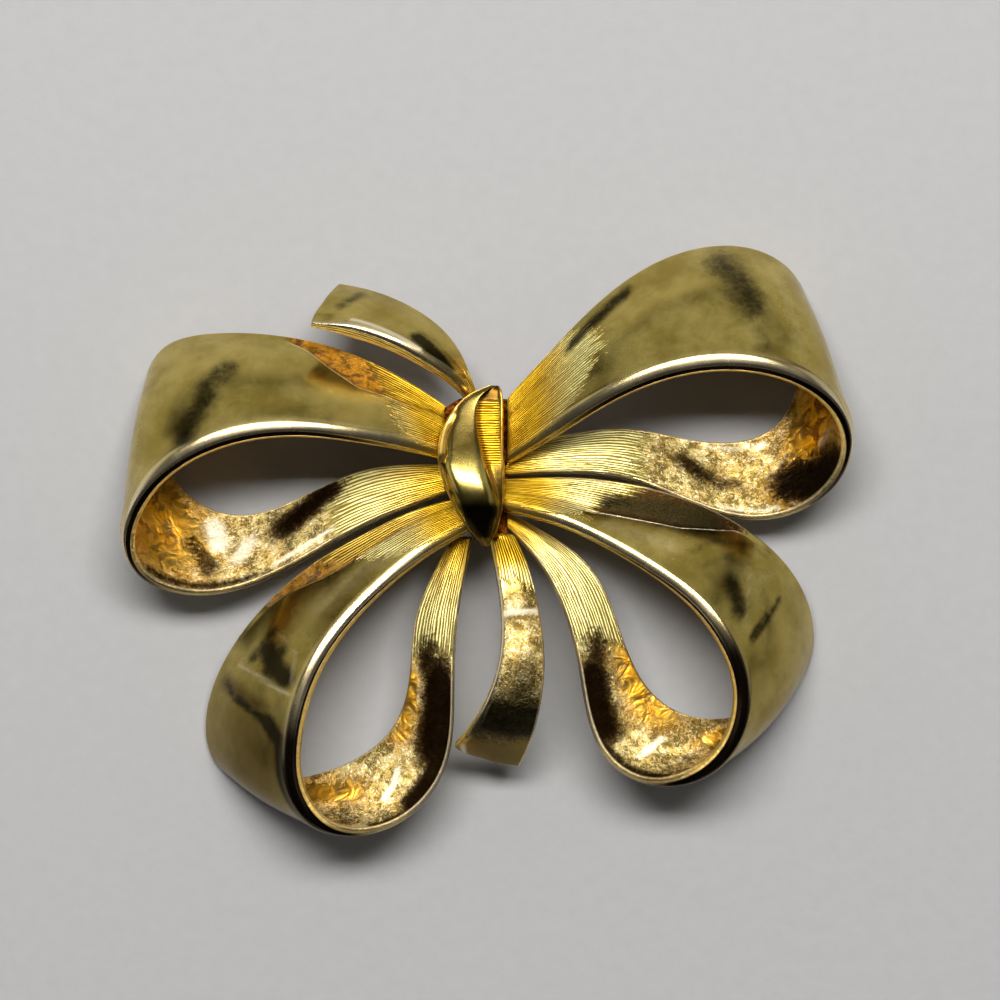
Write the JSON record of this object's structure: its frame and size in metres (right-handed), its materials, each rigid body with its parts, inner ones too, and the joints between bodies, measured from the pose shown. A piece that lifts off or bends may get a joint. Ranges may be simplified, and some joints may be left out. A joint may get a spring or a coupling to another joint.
{
  "type": "bow brooch",
  "caption": "Gilt metal bow brooch: flared ribbon loops with rounded rims, a short upper tail, a hanging lower tail, a polished marquise knot and a plain bar pin behind.",
  "frame": {"origin": "middle of the outline, on the surface the brooch lies on", "axes": "+X to the right across the bow, +Y up the bow, +Z out of the front towards the viewer"},
  "size_m": [0.0702, 0.0569, 0.0123],
  "materials": {
    "gilt": "polished gilt, with engraved lines and matte speckle inside the ribbons",
    "pin_metal": "satin gilt"
  },
  "bodies": {
    "root": {"upper_left_loop": "gilt", "upper_right_loop": "gilt", "lower_left_loop": "gilt", "lower_right_loop": "gilt", "upper_tail": "gilt", "lower_tail": "gilt", "knot": "gilt", "hub": "gilt", "bar_pin": "pin_metal"}
  },
  "joints": []
}
